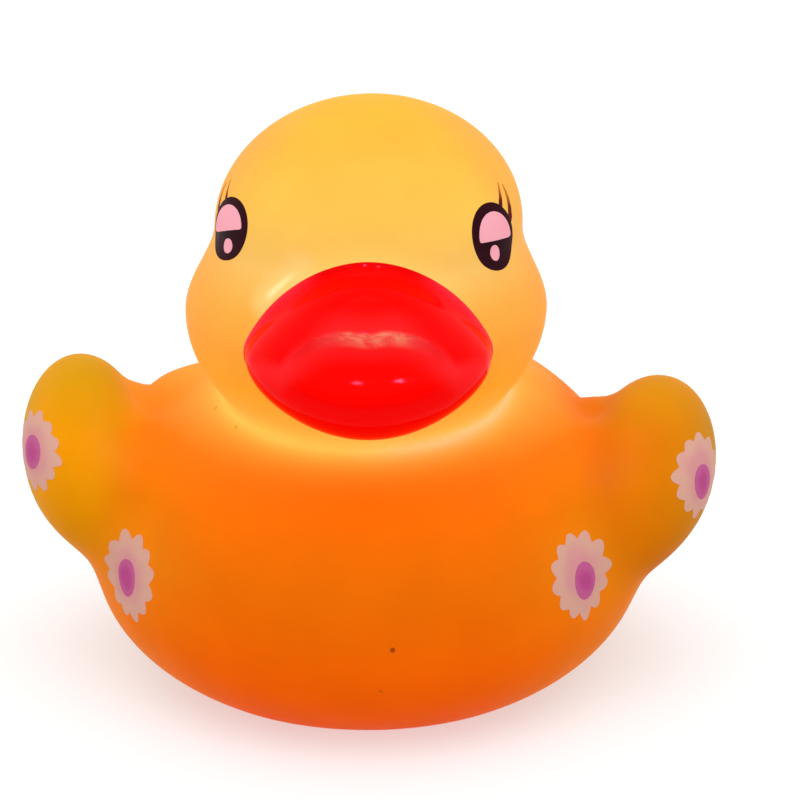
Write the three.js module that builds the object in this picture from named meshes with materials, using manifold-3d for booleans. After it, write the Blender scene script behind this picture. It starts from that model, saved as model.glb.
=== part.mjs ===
// Light-up bath duck: a hollow soft-vinyl shell with a sealed light unit snapped into its base.
// Millimetres, +Z up, bill towards -Y. The flat base stands on Z = 0.
import * as THREE from 'three';
import { mergeVertices } from 'three/addons/utils/BufferGeometryUtils.js';
import Module from 'manifold-3d';

const wasm = await Module();
wasm.setup();

// Clearance left between pieces that meet
const fit = 0.3;

// Vinyl shell: wall and base
const shellWall = 2.2;
const baseWall = 3.0;

// Body: two half ellipsoids that share the widest section
const bodyHalfWidth = 36.2;
const bodyHalfLength = 38.5;
const bodyWaistHeight = 14.5;
const bodyUpperRise = 29.5;
const bodyLowerDrop = 20.5;
const bodyTop = bodyWaistHeight + bodyUpperRise;

// Head, turned a little about the body's upright axis. Heights are above the body's top, forward is -Y
const headTurn = THREE.MathUtils.degToRad(3);
const headForward = 10.5;
const headDepthRatio = 0.95;
const cheekHalfWidth = 23.0;
const cheekHeight = 7.8;
const chinDrop = 18.0;
const crownHalfWidth = 19.5;
const crownHeight = 18.7;
const crownRise = 16.2;

// Bill: a broad rounded upper half and a slightly smaller lower lip
const billUpper = { forward: 29.0, height: 8.8, half: [15.6, 15.0, 10.8] };
const billLower = { forward: 27.5, height: 6.8, half: [14.8, 13.5, 9.6] };

// Wings: a long lobe that flares out and up towards the back, and a low shoulder behind its top
const wingOutset = 0.3;
const wingForward = 2.5;
const wingLift = 13.1;
const wingHalf = [8.95, 16.0, 9.6];
const wingYaw = THREE.MathUtils.degToRad(14);
const wingPitch = THREE.MathUtils.degToRad(18);
const wingRoll = THREE.MathUtils.degToRad(-18);
const shoulderInset = 11.0;
const shoulderBack = 2.5;
const shoulderLift = 15.9;
const shoulderHalf = [11.0, 7.0, 5.9];

// Tail: a blunt upturned lobe
const tailInset = 5.5;
const tailLift = 12.5;
const tailHalf = [12.5, 17.0, 8.0];
const tailPitch = THREE.MathUtils.degToRad(32);

// Three button cells in a stack
const cellRadius = 5.8;
const cellHeight = 5.4;
const cellCount = 3;
const cellCapRadius = 4.4;
const cellCapHeight = 0.3;

// Light housing: a cup with a cell sleeve, a bottom flange and a snap ring
const sleeveWall = 0.9;
const cupWall = 1.2;
const cupFloor = 1.6;
const cupRimAboveBoard = 1.2;
const flangeWidth = 2.8;
const flangeThickness = 1.0;
const flangeRecess = 0.4;
const snapReach = 1.0;
const snapHeight = 1.5;
const pinToCup = 1.3;

// Contact pins: rivets that sense water under the duck
const pinRadius = 1.2;
const pinHeadRadius = 2.2;
const pinHeadHeight = 0.6;

// Strip metal clips
const stripThickness = 0.4;
const stripWidth = 3.0;
const clipInset = 0.5;
const dimpleRadius = 1.6;

// Circuit board, lamp and chip
const boardThickness = 1.0;
const ledRadius = 2.5;
const ledFlangeRadius = 2.9;
const ledFlangeHeight = 1.0;
const ledBarrel = 6.1;
const chipRadius = 2.0;
const chipHeight = 1.2;
const chipOffset = 6.2;

// Clear cover
const coverWall = 1.2;
const coverSkirt = 3.5;
const coverDomeRise = 7.0;

// Facets around the duck's lobes, outside and in the hollow, and each lobe's share of them
const skinFacets = 26;
const hollowFacets = 16;
const bodyShare = 1.4;
const headShare = 1.2;
const smallLobeShare = 0.75;
const facetsPerArcStep = 5;

// Facets around turned pieces and steps along their arcs
const turnedFacets = 24;
const pinFacets = 20;
const lampArcSteps = 6;
const chipArcSteps = 4;
const domeArcSteps = 5;

// Points closer than this are one point, and cutters reach this far past what they cut
const weldTolerance = 1e-4;
const overshoot = 1;

// Places that follow from the sizes above
const sleeveInner = cellRadius + fit;
const sleeveOuter = sleeveInner + sleeveWall;
const pinOffset = sleeveOuter + fit + pinRadius;
const cupInner = pinOffset + pinRadius + pinToCup;
const cupOuter = cupInner + cupWall;
const baseHole = cupOuter + fit;
const flangeRadius = cupOuter + flangeWidth;
const counterbore = flangeRadius + fit;
const counterboreDepth = flangeRecess + flangeThickness + fit;
const cupBottom = flangeRecess;
const cupFloorTop = cupBottom + cupFloor;
const snapBottom = baseWall + fit;
const lowerClipBottom = cupFloorTop + fit;
const cellPitch = cellHeight + fit;
const stackBottom = lowerClipBottom + stripThickness + fit;
const upperClipBottom = stackBottom + cellCount * cellPitch;
const boardBottom = upperClipBottom + stripThickness + fit;
const boardTop = boardBottom + boardThickness;
const boardRadius = cupInner - fit;
const cupTop = boardTop + cupRimAboveBoard;
const sleeveTop = boardBottom - fit;
const coverBottom = cupTop + fit;
const spigotBottom = boardTop + fit;

// Closes a geometry: shared points are merged and collapsed triangles are dropped
function weld(geometry) {
  geometry.deleteAttribute('normal');
  geometry.deleteAttribute('uv');
  const merged = mergeVertices(geometry, weldTolerance);
  const corners = Array.from(merged.index.array);
  const kept = [];
  for (let i = 0; i < corners.length; i += 3) {
    const [a, b, c] = corners.slice(i, i + 3);
    if (a !== b && b !== c && c !== a) kept.push(a, b, c);
  }
  merged.setIndex(kept);
  return merged;
}

function toManifold(geometry) {
  const closed = weld(geometry);
  const vertProperties = new Float32Array(closed.attributes.position.array);
  const triVerts = new Uint32Array(closed.index.array);
  return new wasm.Manifold(new wasm.Mesh({ numProp: 3, vertProperties, triVerts }));
}

function toGeometry(solid) {
  const mesh = solid.getMesh();
  const geometry = new THREE.BufferGeometry();
  geometry.setAttribute('position', new THREE.BufferAttribute(mesh.vertProperties, 3));
  geometry.setIndex(new THREE.BufferAttribute(mesh.triVerts, 1));
  geometry.computeVertexNormals();
  return geometry;
}

function join(solids) {
  return solids.reduce((sum, solid) => sum.add(solid));
}

// A piece turned about Z from a closed [radius, height] outline, listed with the material on its left
function turned(outline, facets = turnedFacets) {
  const points = outline.map(([radius, height]) => new THREE.Vector2(radius, height));
  if (outline[0][0] > 0) points.push(points[0].clone());
  return new THREE.LatheGeometry(points, facets).rotateX(Math.PI / 2);
}

function disc(radius, bottom, top) {
  return turned([[0, bottom], [radius, bottom], [radius, top], [0, top]]);
}

function ring(inner, outer, bottom, top) {
  return turned([[inner, bottom], [outer, bottom], [outer, top], [inner, top]]);
}

function block(width, depth, bottom, top) {
  return new THREE.BoxGeometry(width, depth, top - bottom).translate(0, 0, (top + bottom) / 2);
}

function quarterArc(radius, rise, base, steps) {
  const points = [];
  for (let i = 0; i <= steps; i += 1) {
    const angle = (i / steps) * (Math.PI / 2);
    points.push([i === steps ? 0 : radius * Math.cos(angle), base + rise * Math.sin(angle)]);
  }
  return points;
}

// An ellipsoid about the origin, thinned by the inset
function lobe(half, inset, facets) {
  const [x, y, z] = half.map((size) => size - inset);
  const sphere = new THREE.SphereGeometry(1, facets, Math.round(facets / 2));
  return sphere.rotateX(Math.PI / 2).scale(x, y, z);
}

function bodyLobe(inset, facets) {
  const steps = Math.round(facets / facetsPerArcStep);
  const radius = bodyHalfWidth - inset;
  const upper = quarterArc(radius, bodyUpperRise - inset, 0, steps);
  const lower = quarterArc(radius, inset - bodyLowerDrop, 0, steps).reverse();
  const stretch = (bodyHalfLength - inset) / radius;
  const body = turned([...lower, ...upper.slice(1)], facets);
  return body.scale(1, stretch, 1).translate(0, 0, bodyWaistHeight);
}

// The head's outline: a rounded chin, a soft inward sweep above the cheeks, and a round crown
function headLobe(inset, facets) {
  const steps = Math.round(facets / facetsPerArcStep);
  const cheek = cheekHalfWidth - inset;
  const crown = crownHalfWidth - inset;
  const pull = (crownHeight - cheekHeight) / 3;
  const sweep = new THREE.CubicBezierCurve(
    new THREE.Vector2(cheek, cheekHeight),
    new THREE.Vector2(cheek, cheekHeight + pull),
    new THREE.Vector2(crown, crownHeight - pull),
    new THREE.Vector2(crown, crownHeight),
  );
  const head = turned([
    ...quarterArc(cheek, inset - chinDrop, cheekHeight, steps).reverse(),
    ...sweep.getPoints(steps).slice(1, -1).map((point) => point.toArray()),
    ...quarterArc(crown, crownRise - inset, crownHeight, steps),
  ], facets);
  return onHead(head.scale(1, headDepthRatio, 1), headForward, 0);
}

function onHead(shape, forward, height) {
  return shape.translate(0, -forward, bodyTop + height).rotateZ(headTurn);
}

function billLobe(part, inset, facets) {
  return onHead(lobe(part.half, inset, facets), part.forward, part.height);
}

function wingLobes(side, inset, facets) {
  const wing = lobe(wingHalf, inset, facets);
  wing.rotateY(side * wingRoll).rotateX(wingPitch).rotateZ(-side * wingYaw);
  wing.translate(side * (bodyHalfWidth + wingOutset), -wingForward, bodyWaistHeight + wingLift);
  const shoulder = lobe(shoulderHalf, inset, facets);
  shoulder.translate(side * (bodyHalfWidth - shoulderInset), shoulderBack, bodyWaistHeight + shoulderLift);
  return [wing, shoulder];
}

function tailLobe(inset, facets) {
  const back = bodyHalfLength - tailInset;
  return lobe(tailHalf, inset, facets).rotateX(tailPitch).translate(0, back, bodyWaistHeight + tailLift);
}

// The duck's whole form, or its hollow when an inset is given, cut flat at the floor height
function duckForm(inset, floor, facets) {
  const smallFacets = Math.round(facets * smallLobeShare);
  const shapes = [
    bodyLobe(inset, Math.round(facets * bodyShare)),
    headLobe(inset, Math.round(facets * headShare)),
    billLobe(billUpper, inset, facets),
    billLobe(billLower, inset, facets),
    ...wingLobes(-1, inset, smallFacets),
    ...wingLobes(1, inset, smallFacets),
    tailLobe(inset, smallFacets),
  ];
  const span = 2 * (bodyTop + bodyHalfLength + bodyHalfWidth);
  const above = toManifold(block(span, span, floor, floor + span));
  return join(shapes.map(toManifold)).intersect(above);
}

function duckShell() {
  const outside = duckForm(0, 0, skinFacets);
  const hollow = duckForm(shellWall, baseWall, hollowFacets);
  const hole = toManifold(disc(baseHole, -overshoot, baseWall + overshoot));
  const recess = toManifold(disc(counterbore, -overshoot, counterboreDepth));
  return toGeometry(outside.subtract(hollow).subtract(hole).subtract(recess));
}

function lightHousing() {
  const cup = toManifold(turned([
    [0, cupBottom], [flangeRadius, cupBottom], [flangeRadius, cupBottom + flangeThickness],
    [cupOuter, cupBottom + flangeThickness], [cupOuter, snapBottom], [cupOuter + snapReach, snapBottom],
    [cupOuter, snapBottom + snapHeight], [cupOuter, cupTop], [cupInner, cupTop], [cupInner, cupFloorTop],
    [sleeveOuter, cupFloorTop], [sleeveOuter, sleeveTop], [sleeveInner, sleeveTop],
    [sleeveInner, cupFloorTop], [0, cupFloorTop],
  ]));
  const slotWidth = stripWidth + 2 * fit;
  const slotDepth = 2 * sleeveOuter;
  const slot = block(slotWidth, slotDepth, cupFloorTop, sleeveTop + fit);
  const cuts = [toManifold(slot.translate(0, slotDepth / 2, 0))];
  for (const side of [-1, 1]) {
    const x = side * pinOffset;
    const bore = disc(pinRadius + fit, cupBottom - overshoot, cupFloorTop + overshoot);
    const seat = disc(pinHeadRadius + fit, cupBottom - overshoot, cupBottom + pinHeadHeight + fit);
    cuts.push(toManifold(bore.translate(x, 0, 0)), toManifold(seat.translate(x, 0, 0)));
  }
  return toGeometry(cuts.reduce((solid, cut) => solid.subtract(cut), cup));
}

function contactPin(side) {
  const headTop = cupBottom + pinHeadHeight;
  const pin = turned([
    [0, cupBottom], [pinHeadRadius, cupBottom], [pinHeadRadius, headTop], [pinRadius, headTop],
    [pinRadius, boardBottom - fit], [0, boardBottom - fit],
  ], pinFacets);
  return weld(pin.translate(side * pinOffset, 0, 0));
}

function buttonCell(index) {
  const bottom = stackBottom + index * cellPitch;
  const canBottom = bottom + cellCapHeight;
  const top = bottom + cellHeight;
  return weld(turned([
    [0, bottom], [cellCapRadius, bottom], [cellCapRadius, canBottom], [cellRadius, canBottom],
    [cellRadius, top], [0, top],
  ]));
}

// A round plate under the cells with a strip that rises through the sleeve's slot to the board
function negativeClip() {
  const plate = disc(cellRadius - clipInset, lowerClipBottom, lowerClipBottom + stripThickness);
  const legY = sleeveInner + sleeveWall / 2;
  const foot = block(stripWidth, legY, lowerClipBottom, lowerClipBottom + stripThickness);
  const leg = block(stripWidth, stripThickness, lowerClipBottom, boardBottom - fit);
  return toGeometry(join([
    toManifold(plate),
    toManifold(foot.translate(0, legY / 2, 0)),
    toManifold(leg.translate(0, legY - stripThickness / 2, 0)),
  ]));
}

// A round plate over the cells with a hole for the board's solder point
function positiveClip() {
  return weld(ring(dimpleRadius, cellRadius - clipInset, upperClipBottom, upperClipBottom + stripThickness));
}

function circuitBoard() {
  return weld(disc(boardRadius, boardBottom, boardTop));
}

function lamp() {
  const bottom = boardTop + fit;
  const shoulder = bottom + ledFlangeHeight;
  return weld(turned([
    [0, bottom], [ledFlangeRadius, bottom], [ledFlangeRadius, shoulder], [ledRadius, shoulder],
    ...quarterArc(ledRadius, ledRadius, bottom + ledBarrel, lampArcSteps),
  ]));
}

function controlChip() {
  const bottom = boardTop + fit;
  const blob = turned([[0, bottom], ...quarterArc(chipRadius, chipHeight, bottom, chipArcSteps)], pinFacets);
  return weld(blob.translate(chipOffset, 0, 0));
}

// A clear dome whose spigot holds the board down inside the cup
function lightCover() {
  const spring = coverBottom + coverSkirt;
  const spigotOuter = cupInner - fit;
  const spigotInner = spigotOuter - coverWall;
  const inside = quarterArc(spigotInner, coverDomeRise - coverWall, spring, domeArcSteps).reverse();
  return weld(turned([
    [spigotInner, spigotBottom], [spigotOuter, spigotBottom], [spigotOuter, coverBottom],
    [cupOuter, coverBottom], ...quarterArc(cupOuter, coverDomeRise, spring, domeArcSteps), ...inside,
  ]));
}

const finishes = {
  vinyl: { color: 0xf58a12, roughness: 0.5, metalness: 0 },
  whitePlastic: { color: 0xe9e6dc, roughness: 0.45, metalness: 0 },
  clearPlastic: { color: 0xdfe8ea, roughness: 0.15, metalness: 0 },
  board: { color: 0x2f6b3c, roughness: 0.55, metalness: 0 },
  lampResin: { color: 0xfff1cf, roughness: 0.1, metalness: 0 },
  chipResin: { color: 0x161616, roughness: 0.35, metalness: 0 },
  cellSteel: { color: 0xb9bbbd, roughness: 0.3, metalness: 1 },
  stripSteel: { color: 0xa7a59f, roughness: 0.35, metalness: 1 },
  pinBrass: { color: 0xc8a45a, roughness: 0.3, metalness: 1 },
};

const duck = new THREE.Group();

function addPiece(name, geometry, finish) {
  const mesh = new THREE.Mesh(geometry, new THREE.MeshStandardMaterial(finishes[finish]));
  mesh.name = name;
  duck.add(mesh);
}

addPiece('duck_shell', duckShell(), 'vinyl');
addPiece('light_housing', lightHousing(), 'whitePlastic');
addPiece('light_cover', lightCover(), 'clearPlastic');
addPiece('circuit_board', circuitBoard(), 'board');
addPiece('led', lamp(), 'lampResin');
addPiece('control_chip', controlChip(), 'chipResin');
['cell_lower', 'cell_middle', 'cell_upper'].forEach((name, index) => {
  addPiece(name, buttonCell(index), 'cellSteel');
});
addPiece('negative_clip', negativeClip(), 'stripSteel');
addPiece('positive_clip', positiveClip(), 'stripSteel');
addPiece('contact_pin_left', contactPin(-1), 'pinBrass');
addPiece('contact_pin_right', contactPin(1), 'pinBrass');

// The origin is under the middle of the duck's outline
const outline = new THREE.Box3().setFromObject(duck);
const middle = outline.getCenter(new THREE.Vector3());
duck.position.set(-middle.x, -middle.y, -outline.min.z);

export default duck;
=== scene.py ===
import math

import bmesh
import bpy
import numpy as np
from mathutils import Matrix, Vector


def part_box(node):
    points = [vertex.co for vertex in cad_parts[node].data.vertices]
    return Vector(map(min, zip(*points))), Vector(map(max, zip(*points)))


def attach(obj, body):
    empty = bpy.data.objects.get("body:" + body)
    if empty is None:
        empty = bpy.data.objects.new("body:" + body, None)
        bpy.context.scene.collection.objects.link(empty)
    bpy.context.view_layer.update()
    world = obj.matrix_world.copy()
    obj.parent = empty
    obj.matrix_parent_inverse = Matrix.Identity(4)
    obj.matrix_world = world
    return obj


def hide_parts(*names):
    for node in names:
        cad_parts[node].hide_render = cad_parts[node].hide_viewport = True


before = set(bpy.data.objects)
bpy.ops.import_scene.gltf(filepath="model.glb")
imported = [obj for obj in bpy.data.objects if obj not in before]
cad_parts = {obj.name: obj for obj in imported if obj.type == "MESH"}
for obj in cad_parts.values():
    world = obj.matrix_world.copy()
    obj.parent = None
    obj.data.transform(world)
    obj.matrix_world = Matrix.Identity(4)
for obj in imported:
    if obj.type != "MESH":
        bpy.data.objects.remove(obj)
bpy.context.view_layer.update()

# Shapes are in millimetres on the body's upright axis (x = y = 0, z up, the bill towards -y).
# A span gives the place where a change starts and the place where it is complete.
MM = 0.001

# The body: an egg with a flatter lower half and a flat base. A low swell lies behind the right wing.
BODY_HALF_WIDTH = 36.2
BODY_HALF_LENGTH = 38.5
BODY_WAIST = 14.5
BODY_RISE = 29.5
BODY_DROP = 20.5
BASE_EDGE = 0.6
SWELL_CENTRE = (-22.0, 2.5, 31.0)
SWELL_HALF = (9.0, 8.0, 7.0)
SWELL_BLEND = 1.8

# The head: one turned profile, chin, cheek, sweep and crown, a little turned to the duck's left.
HEAD_TURN = math.radians(3.0)
HEAD_FORWARD = 10.5
HEAD_DEPTH = 0.95
HEAD_LEAN = 0.03
CHEEK_RADIUS = 23.0
CHEEK_HEIGHT = 51.8
CHIN_DROP = 18.0
CROWN_RADIUS = 19.5
CROWN_HEIGHT = 62.7
CROWN_RISE = 16.2
NECK_BLEND = 4.0

# The bill: broad, with pointed corners.
BILL_FORWARD = 29.0
BILL_HEIGHT = 51.6
BILL_HALF_WIDTH = 15.2
BILL_DEPTH = 14.5
BILL_RISE = 11.4
BILL_DROP = 9.7
BILL_UPPER_TAPER = 0.44
BILL_LOWER_TAPER = 0.24
BILL_TAPER_LIMIT = 1.2
BILL_BLEND_TOP = 4.0
BILL_BLEND_UNDER = 1.6
BILL_BLEND_SPAN = (53.0, 60.0)

# The shallow open mouth on the bill's front. Rim and lip bow by x squared and by x to the fourth.
RIM_PEAK = 58.9
RIM_CURVE = (-0.022, -0.00021)
RIM_BOW = 0.3
RIM_BOW_WIDTH = 1.8
RIM_HEIGHT = 0.30
RIM_WIDTH = 0.9
LIP_DIP = 51.1
LIP_CURVE = (0.0125, 0.00012)
LIP_BELOW = 0.5
LIP_HEIGHT = 0.45
LIP_WIDTH = 1.3
MOUTH_HALF_WIDTH = 10.6
MOUTH_DEPTH = 2.0
MOUTH_ROOF_SPAN = (0.0, 1.5)
CORNER_FALL = 0.27
SHELF_PLACE = 0.755
SHELF_STEP = 0.45
SHELF_LEAST_STEP = 0.1
GROOVE_DEPTH = 0.35
GROOVE_WIDTH = 0.7
GROOVE_SPAN = (8.5, 11.5)
RELIEF_SIDE_SPAN = (16.5, 13.0)
RELIEF_FRONT_SPAN = (-30.0, -35.0)

# The wings, each a lobe and a shoulder behind it. The soft casting is not quite the same on both sides.
WING_YAW = math.radians(14.0)
WING_PITCH = math.radians(18.0)
WING_BLEND_BACK = 0.8
WING_BLEND_FRONT = 7.5
WING_BLEND_SPAN = (3.0, -8.0)
SHOULDER_BLEND = 1.5
RIGHT_WING = {
    "centre": (37.1, -2.5, 28.45),
    "half": (8.0, 16.0, 9.85),
    "roll": math.radians(-15.5),
    "shoulder": (31.9, 2.5, 29.6),
    "shoulder_half": (5.8, 7.0, 5.9),
    "tint_start": 2.0,
}
LEFT_WING = {
    "centre": (36.55, -2.5, 27.0),
    "half": (7.9, 16.0, 9.6),
    "roll": math.radians(-27.0),
    "shoulder": (30.2, 2.5, 28.0),
    "shoulder_half": (9.5, 7.0, 6.6),
    "tint_start": 5.0,
}

# The tail. Its centre is given as y and z.
TAIL_CENTRE = (33.0, 27.0)
TAIL_HALF = (12.5, 17.0, 8.0)
TAIL_PITCH = math.radians(32.0)
TAIL_BLEND = 8.0

# The hollow, and the stepped hole in the base that takes the light unit.
SKIN_INSET = 0.08
SHELL_WALL = 2.2
BASE_WALL = 3.0
HOLLOW_EDGE = 1.0
HOLE_RADIUS = 12.5
HOLE_BOTTOM = -1.0
HOLE_TOP = BASE_WALL + 3.0
SEAT_RADIUS = 15.3
SEAT_DEPTH = 1.7
SEAT_EDGE = 0.4
SEAT_EDGE_STEPS = 4
HOLE_SIDES = 128

# How finely the skin is meshed: closer together around the bill, and coarse in the hollow.
SKIN_STEP = 0.95
BILL_STEP = 0.48
HOLLOW_STEP = 2.4
REACH = 47.5
TAIL_REACH = REACH + 4
LOWEST = -2.0
HIGHEST = 80.5
BILL_SIDES = (-16.5, 16.5)
BILL_ENDS = (-46.5, -29.0)
BILL_HEIGHTS = (42.0, 64.5)
RELAX_SHARE = 0.5

# Where the vinyl's regions begin and end, as distances from the lobes, angles from the front, or places.
HEAD_EDGE = 0.8
WING_TINT_END = -6.0
NECK_GLOW_START = 0.7
NECK_GLOW_REACH = 1.9
FLANK_ANGLES = (20.0, 75.0)
HEAD_SIDE_ANGLES = (40.0, 90.0)
CROWN_SPAN = (3.0, 15.0)
RIM_BELOW_LIMITS = (-6, 12)
PAINT_REACH = 1.5
PAINT_LIFT = 0.3
PAINT_LIFT_SPAN = (52.0, 58.0)
PAINT_MARGIN = 0.1
INNER_WALL = -0.6

# The body's axis runs through the middle of the light unit.
AXIS_Y = (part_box("light_housing")[0].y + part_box("light_housing")[1].y) / 2 / MM


def smooth_min(a, b, width):
    """The lower of two fields, rounded where they cross."""
    share = np.clip(0.5 + 0.5 * (b - a) / width, 0, 1)
    return b + (a - b) * share - width * share * (1 - share)


def smooth_max(a, b, width):
    return -smooth_min(-a, -b, width)


def ease(low, high, value):
    """0 at low, 1 at high, smooth between; low may be above high."""
    share = np.clip((value - low) / (high - low), 0, 1)
    return share * share * (3 - 2 * share)


def hump(away, width):
    """1 at 0, falling off on both sides."""
    return np.exp(-((away / width) ** 2))


def bowed(height, curve, x):
    """Height at x of a line that bows away from its middle height."""
    return height + curve[0] * x**2 + curve[1] * x**4


def ellipsoid(x, y, z, half):
    """About the distance to an ellipsoid around the origin, below 0 inside."""
    a, b, c = half
    near = np.sqrt((x / a) ** 2 + (y / b) ** 2 + (z / c) ** 2)
    steep = np.sqrt((x / a**2) ** 2 + (y / b**2) ** 2 + (z / c**2) ** 2)
    return near * (near - 1) / np.maximum(steep, 1e-9)


def turn(u, v, angle):
    return math.cos(angle) * u - math.sin(angle) * v, math.sin(angle) * u + math.cos(angle) * v


def body_field(x, y, z):
    dz = z - BODY_WAIST
    half_height = np.where(dz > 0, BODY_RISE, BODY_DROP)
    return ellipsoid(x, y, dz, (BODY_HALF_WIDTH, BODY_HALF_LENGTH, half_height))


def swell_field(x, y, z):
    a, b, c = SWELL_CENTRE
    return ellipsoid(x - a, y - b, z - c, SWELL_HALF)


def head_field(x, y, z):
    leaning = x + HEAD_LEAN * (CROWN_HEIGHT - z)
    rho = np.sqrt(leaning**2 + ((y + HEAD_FORWARD) / HEAD_DEPTH) ** 2)
    chin = ellipsoid(rho, 0, z - CHEEK_HEIGHT, (CHEEK_RADIUS, 1, CHIN_DROP))
    crown = ellipsoid(rho, 0, z - CROWN_HEIGHT, (CROWN_RADIUS, 1, CROWN_RISE))
    span = CROWN_HEIGHT - CHEEK_HEIGHT
    narrowing = CROWN_RADIUS - CHEEK_RADIUS
    share = np.clip((z - CHEEK_HEIGHT) / span, 0, 1)
    radius = CHEEK_RADIUS + narrowing * share * share * (3 - 2 * share)
    slope = narrowing * 6 * share * (1 - share) / span
    sweep = (rho - radius) / np.sqrt(1 + slope**2)
    return np.where(z < CHEEK_HEIGHT, chin, np.where(z > CROWN_HEIGHT, crown, sweep))


def rim_line(x):
    """Height of the upper bill's rim."""
    inner = bowed(RIM_PEAK, RIM_CURVE, x) - RIM_BOW * hump(x, RIM_BOW_WIDTH)
    fork = bowed(RIM_PEAK, RIM_CURVE, MOUTH_HALF_WIDTH)
    outer = fork - CORNER_FALL * (np.abs(x) - MOUTH_HALF_WIDTH)
    return np.where(np.abs(x) < MOUTH_HALF_WIDTH, inner, outer)


def mouth_relief(x, z):
    """How far the bill's front stands out (above 0) or in (below 0) of its plain form."""
    below = rim_line(x) - z
    gap = np.maximum(rim_line(x) - bowed(LIP_DIP, LIP_CURVE, x), 0.0)
    opening = gap / (RIM_PEAK - LIP_DIP)
    rim = RIM_HEIGHT * hump(below, RIM_WIDTH)
    step = SHELF_STEP * opening + SHELF_LEAST_STEP
    shelf = 1 / (1 + np.exp((below - SHELF_PLACE * gap) / step))
    hollow = ease(*MOUTH_ROOF_SPAN, below) * shelf
    lip = hump(below - gap - LIP_BELOW, LIP_WIDTH)
    groove = hump(below, GROOVE_WIDTH) * ease(*GROOVE_SPAN, np.abs(x))
    mouth = rim * opening - MOUTH_DEPTH * opening * hollow + LIP_HEIGHT * lip * opening
    return ease(*RELIEF_SIDE_SPAN, np.abs(x)) * (mouth - GROOVE_DEPTH * groove)


def bill_field(x, y, z):
    u2 = np.minimum((x / BILL_HALF_WIDTH) ** 2, BILL_TAPER_LIMIT)
    dz = z - BILL_HEIGHT
    upper = BILL_RISE * (1 - BILL_UPPER_TAPER * u2)
    lower = BILL_DROP * (1 - BILL_LOWER_TAPER * u2)
    half = (BILL_HALF_WIDTH, BILL_DEPTH, np.where(dz > 0, upper, lower))
    plain = ellipsoid(x, y + BILL_FORWARD, dz, half)
    return plain - ease(*RELIEF_FRONT_SPAN, y) * mouth_relief(x, z)


def wing_form(side, y, z, wing):
    """One wing; side is the distance from the middle."""
    a, b, c = wing["centre"]
    u, v = turn(side - a, y - b, WING_YAW)
    v, w = turn(v, z - c, -WING_PITCH)
    w, u = turn(w, u, -wing["roll"])
    a, b, c = wing["shoulder"]
    shoulder = ellipsoid(side - a, y - b, z - c, wing["shoulder_half"])
    return smooth_min(ellipsoid(u, v, w, wing["half"]), shoulder, SHOULDER_BLEND)


def wing_field(x, y, z):
    return np.where(x < 0, wing_form(-x, y, z, RIGHT_WING), wing_form(x, y, z, LEFT_WING))


def tail_field(x, y, z):
    v, w = turn(y - TAIL_CENTRE[0], z - TAIL_CENTRE[1], -TAIL_PITCH)
    return ellipsoid(x, v, w, TAIL_HALF)


def skin_parts(points):
    """Each lobe's own field at the points, and where they are across and along the turned head."""
    x, y, z = points[..., 0], points[..., 1], points[..., 2]
    hx, hy = turn(x, y, -HEAD_TURN)
    return {
        "body": smooth_min(body_field(x, y, z), swell_field(x, y, z), SWELL_BLEND),
        "tail": tail_field(x, y, z),
        "wing": wing_field(x, y, z),
        "head": head_field(hx, hy, z),
        "bill": bill_field(hx, hy, z),
        "hx": hx,
        "hy": hy,
    }


def skin_field(points):
    """Below 0 inside the duck's outer skin."""
    part = skin_parts(points)
    trunk = smooth_min(part["body"], part["tail"], TAIL_BLEND)
    front = ease(*WING_BLEND_SPAN, points[..., 1])
    wing_blend = WING_BLEND_BACK + (WING_BLEND_FRONT - WING_BLEND_BACK) * front
    trunk = smooth_min(trunk, part["wing"], wing_blend)
    above = ease(*BILL_BLEND_SPAN, points[..., 2])
    bill_blend = BILL_BLEND_UNDER + (BILL_BLEND_TOP - BILL_BLEND_UNDER) * above
    top = smooth_min(part["head"], part["bill"], bill_blend)
    whole = smooth_min(trunk, top, NECK_BLEND)
    return smooth_max(whole + SKIN_INSET, -points[..., 2], BASE_EDGE)


def hollow_field(points):
    """Below 0 in the hollow."""
    return smooth_max(skin_field(points) + SHELL_WALL, BASE_WALL - points[..., 2], HOLLOW_EDGE)


def gradient(field, points, step=0.02):
    slopes = []
    for axis in np.eye(3):
        slopes.append(field(points + axis * step) - field(points - axis * step))
    return np.stack(slopes, -1) / (2 * step)


def settle(field, points, rounds=4, longest_move=0.6, least_square=0.05):
    """Moves points onto the field's zero surface."""
    for _ in range(rounds):
        slope = gradient(field, points)
        square = np.maximum((slope**2).sum(-1), least_square)
        move = np.clip(field(points) / square, -longest_move, longest_move)
        points = points - move[..., None] * slope
    return points


def grid_lines(places, *steps):
    """Grid lines through the places, with one step size between each two."""
    lines = []
    for start, end, step in zip(places, places[1:], steps):
        count = max(1, math.ceil((end - start) / step))
        lines.append(np.linspace(start, end, count + 1)[:-1])
    return np.concatenate([*lines, places[-1:]])


def cell_vertices(values, axes, cells):
    """The mean of the edge crossings in each cell."""
    total = np.zeros((len(cells), 3))
    hits = np.zeros(len(cells))
    for axis, near, far in np.ndindex(3, 2, 2):
        a = cells + np.insert(np.array([near, far]), axis, 0)
        b = cells + np.insert(np.array([near, far]), axis, 1)
        va = values[tuple(a.T)]
        vb = values[tuple(b.T)]
        cross = (va < 0) != (vb < 0)
        share = va / np.where(cross, va - vb, 1)
        pa = np.stack([axes[i][a[:, i]] for i in range(3)], -1)
        pb = np.stack([axes[i][b[:, i]] for i in range(3)], -1)
        total += np.where(cross[:, None], pa + (pb - pa) * share[:, None], 0)
        hits += cross
    return total / hits[:, None]


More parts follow.
